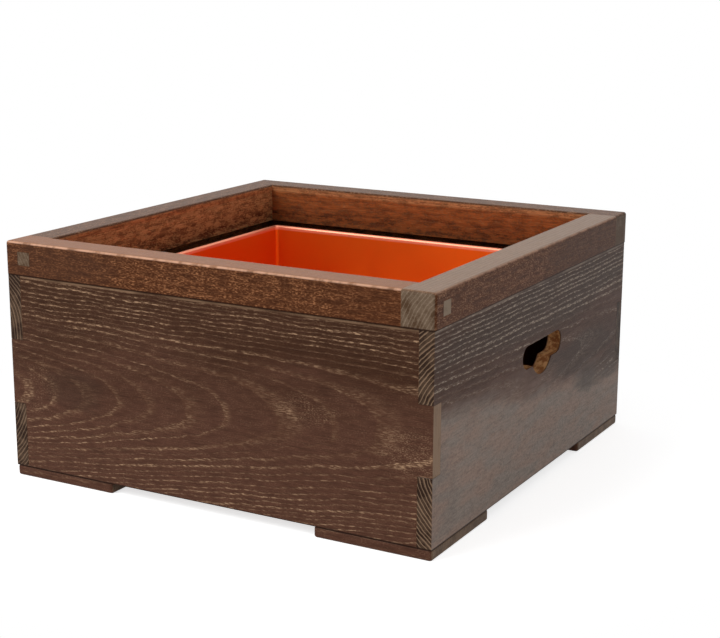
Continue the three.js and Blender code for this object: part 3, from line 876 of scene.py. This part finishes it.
class HEARTH_OT_copper_liner(bpy.types.Operator):
    """Model the copper liner: a sheet box with a rolled rim"""

    bl_idname = "hearth.copper_liner"
    bl_label = "Model copper liner"

    def execute(self, context):
        look = context.scene.hearth_copper
        wall_half = LINER_HIGH.x - 2 * look.rim_radius + look.sheet
        rim_level = LINER_HIGH.z - look.rim_radius
        shell = self.make_shell(look, wall_half, rim_level)
        rim = self.make_rim(look, wall_half - look.sheet + look.rim_radius, rim_level)
        select_only(shell)
        rim.select_set(True)
        bpy.ops.object.join()
        bpy.ops.object.shade_smooth_by_angle(angle=math.radians(SMOOTH_ANGLE))
        shell.data.materials.clear()
        shell.data.materials.append(copper_sheet("copper_sheet", look))
        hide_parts("copper_liner")
        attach(shell, "liner")
        return {"FINISHED"}

    def make_shell(self, look, half, top):
        deselect_all()
        middle = (0, 0, (LINER_LOW.z + top) / 2)
        bpy.ops.mesh.primitive_cube_add(size=1, location=middle)
        shell = bpy.context.object
        shell.name = "copper_liner_sheet"
        shell.data.name = "copper_liner_sheet"
        shell.scale = (2 * half, 2 * half, top - LINER_LOW.z)
        bpy.ops.object.transform_apply(location=True, rotation=True, scale=True)
        bpy.ops.object.mode_set(mode="EDIT")
        bpy.ops.mesh.select_mode(type="FACE")
        bpy.ops.mesh.select_all(action="DESELECT")
        bpy.ops.object.mode_set(mode="OBJECT")
        for polygon in shell.data.polygons:
            polygon.select = polygon.normal.z > 0.9
        bpy.ops.object.mode_set(mode="EDIT")
        bpy.ops.mesh.delete(type="FACE")
        bpy.ops.mesh.select_mode(type="EDGE")
        self.bevel_edges(shell, self.is_upright, look.corner_radius, CORNER_SEGMENTS)
        self.bevel_edges(shell, self.is_at_floor, look.floor_bend, FLOOR_BEND_SEGMENTS)
        wall = shell.modifiers.new("sheet", "SOLIDIFY")
        wall.thickness = look.sheet
        wall.offset = -1.0
        bpy.ops.object.modifier_apply(modifier=wall.name)
        return shell

    def make_rim(self, look, half, level):
        deselect_all()
        bpy.ops.mesh.primitive_plane_add(size=2 * half, location=(0, 0, level))
        bpy.ops.object.transform_apply(location=True, rotation=True, scale=True)
        bpy.ops.object.mode_set(mode="EDIT")
        bpy.ops.mesh.select_all(action="SELECT")
        bpy.ops.mesh.bevel(offset=look.corner_radius, segments=CORNER_SEGMENTS, affect="VERTICES")
        bpy.ops.mesh.select_all(action="SELECT")
        bpy.ops.mesh.delete(type="ONLY_FACE")
        bpy.ops.object.mode_set(mode="OBJECT")
        bpy.ops.object.convert(target="CURVE")
        rim = bpy.context.object
        rim.data.bevel_depth = look.rim_radius
        rim.data.bevel_resolution = RIM_ROUNDNESS
        bpy.ops.object.convert(target="MESH")
        return bpy.context.object

    @staticmethod
    def bevel_edges(obj, wanted, radius, segments):
        bpy.ops.object.mode_set(mode="EDIT")
        bpy.ops.mesh.select_all(action="DESELECT")
        bpy.ops.object.mode_set(mode="OBJECT")
        for edge in obj.data.edges:
            edge.select = wanted(*(obj.data.vertices[i].co for i in edge.vertices))
        bpy.ops.object.mode_set(mode="EDIT")
        bpy.ops.mesh.bevel(offset=radius, segments=segments, affect="EDGES")
        bpy.ops.object.mode_set(mode="OBJECT")

    @staticmethod
    def is_upright(a, b):
        return abs(a.z - b.z) > 10 * MM and (a.xy - b.xy).length < MM

    @staticmethod
    def is_at_floor(a, b):
        return max(a.z, b.z) < LINER_LOW.z + 0.1 * MM


class HEARTH_OT_stage(bpy.types.Operator):
    """Place the floor, the lights and the camera"""

    bl_idname = "hearth.stage"
    bl_label = "Set the stage"

    def execute(self, context):
        look = context.scene.hearth_stage
        self.make_floor(look)
        self.make_room(look)
        self.make_lamp("key_light", look.key_power, KEY_PLACE, KEY_SIZE)
        self.make_lamp("fill_light", look.fill_power, FILL_PLACE, FILL_SIZE)
        self.make_camera()
        context.scene.view_settings.view_transform = "Standard"
        return {"FINISHED"}

    def make_floor(self, look):
        """A pale floor that keeps the shadow near the hearth and shows white farther away."""
        deselect_all()
        bpy.ops.mesh.primitive_plane_add(size=FLOOR_SIZE, location=(0, 0, 0))
        floor = bpy.context.object
        floor.name = "floor"
        tree = Tree("floor")
        x, y, _ = tree.coordinates("Object")
        away = tree.math("SQRT", tree.plus(tree.product(x, x), tree.product(y, y)))
        seen = self.seen_rays(tree.nodes, tree.links)
        white = tree.step(away, *SHADOW_REACH)
        lit = tree.mix(tree.product(seen, white), look.floor_colour, BLACK)
        tree.set(Base_Color=lit, Roughness=0.9, Specular_IOR_Level=0.0, Emission_Color=WHITE)
        glow = tree.scaled(white, 1.0 - look.floor_glow, look.floor_glow)
        tree.set(Emission_Strength=tree.product(seen, glow))
        floor.data.materials.append(tree.material)

    def make_room(self, look):
        room = bpy.data.worlds.new("room")
        bpy.context.scene.world = room
        room.use_nodes = True
        nodes, links = room.node_tree.nodes, room.node_tree.links
        strength = nodes.new("ShaderNodeMix")
        strength.inputs["A"].default_value = look.room_light
        strength.inputs["B"].default_value = 1.0
        links.new(self.seen_rays(nodes, links), strength.inputs["Factor"])
        background = nodes["Background"]
        background.inputs["Color"].default_value = WHITE
        links.new(strength.outputs[0], background.inputs["Strength"])

    @staticmethod
    def seen_rays(nodes, links):
        """1 for rays that show the background: from the camera, in a gloss or through glass."""
        path = nodes.new("ShaderNodeLightPath")
        total = path.outputs["Is Camera Ray"]
        for name in ("Is Glossy Ray", "Is Transmission Ray"):
            node = nodes.new("ShaderNodeMath")
            node.operation = "MAXIMUM"
            links.new(total, node.inputs[0])
            links.new(path.outputs[name], node.inputs[1])
            total = node.outputs[0]
        return total

    def make_lamp(self, name, power, place, size):
        deselect_all()
        bpy.ops.object.light_add(type="AREA", location=place)
        lamp = bpy.context.object
        lamp.name = name
        lamp.data.energy = power
        lamp.data.shape = "DISK"
        lamp.data.size = size
        lamp.rotation_euler = (LAMP_TARGET - Vector(place)).to_track_quat("-Z", "Y").to_euler()

    def make_camera(self):
        deselect_all()
        turn = Euler(tuple(math.radians(angle) for angle in CAMERA_TURN))
        bpy.ops.object.camera_add(location=CAMERA_PLACE, rotation=turn)
        camera = bpy.context.object
        camera.data.lens = CAMERA_LENS
        camera.data.sensor_width = CAMERA_SENSOR
        bpy.context.scene.camera = camera


GROUPS = {
    "hearth_board_wood": HearthBoardWood,
    "hearth_frame_wood": HearthFrameWood,
    "hearth_raw_wood": HearthRawWood,
    "hearth_copper": HearthCopper,
    "hearth_stage": HearthStage,
}
OPERATORS = (
    HEARTH_OT_boards,
    HEARTH_OT_frame_rails,
    HEARTH_OT_feet,
    HEARTH_OT_inner_wood,
    HEARTH_OT_screws,
    HEARTH_OT_copper_liner,
    HEARTH_OT_stage,
)


class HEARTH_PT_sidebar(bpy.types.Panel):
    """Lists the operators and their sizes and colours in the sidebar"""

    bl_idname = "HEARTH_PT_sidebar"
    bl_label = "Tea hearth"
    bl_space_type = "VIEW_3D"
    bl_region_type = "UI"
    bl_category = "Hearth"

    def draw(self, context):
        for operator in OPERATORS:
            self.layout.operator(operator.bl_idname)
        for name, group in GROUPS.items():
            box = self.layout.box()
            for prop in group.bl_rna.properties.keys():
                if prop not in ("rna_type", "name"):
                    box.prop(getattr(context.scene, name), prop)


def register():
    for item in (*GROUPS.values(), *OPERATORS, HEARTH_PT_sidebar):
        bpy.utils.register_class(item)
    for name, group in GROUPS.items():
        setattr(bpy.types.Scene, name, bpy.props.PointerProperty(type=group))


def unregister():
    for name in GROUPS:
        delattr(bpy.types.Scene, name)
    for item in (HEARTH_PT_sidebar, *reversed(OPERATORS), *reversed(GROUPS.values())):
        bpy.utils.unregister_class(item)


def main():
    register()
    for operator in OPERATORS:
        name = operator.bl_idname.split(".")[1]
        getattr(bpy.ops.hearth, name)()


if __name__ == "__main__":
    main()
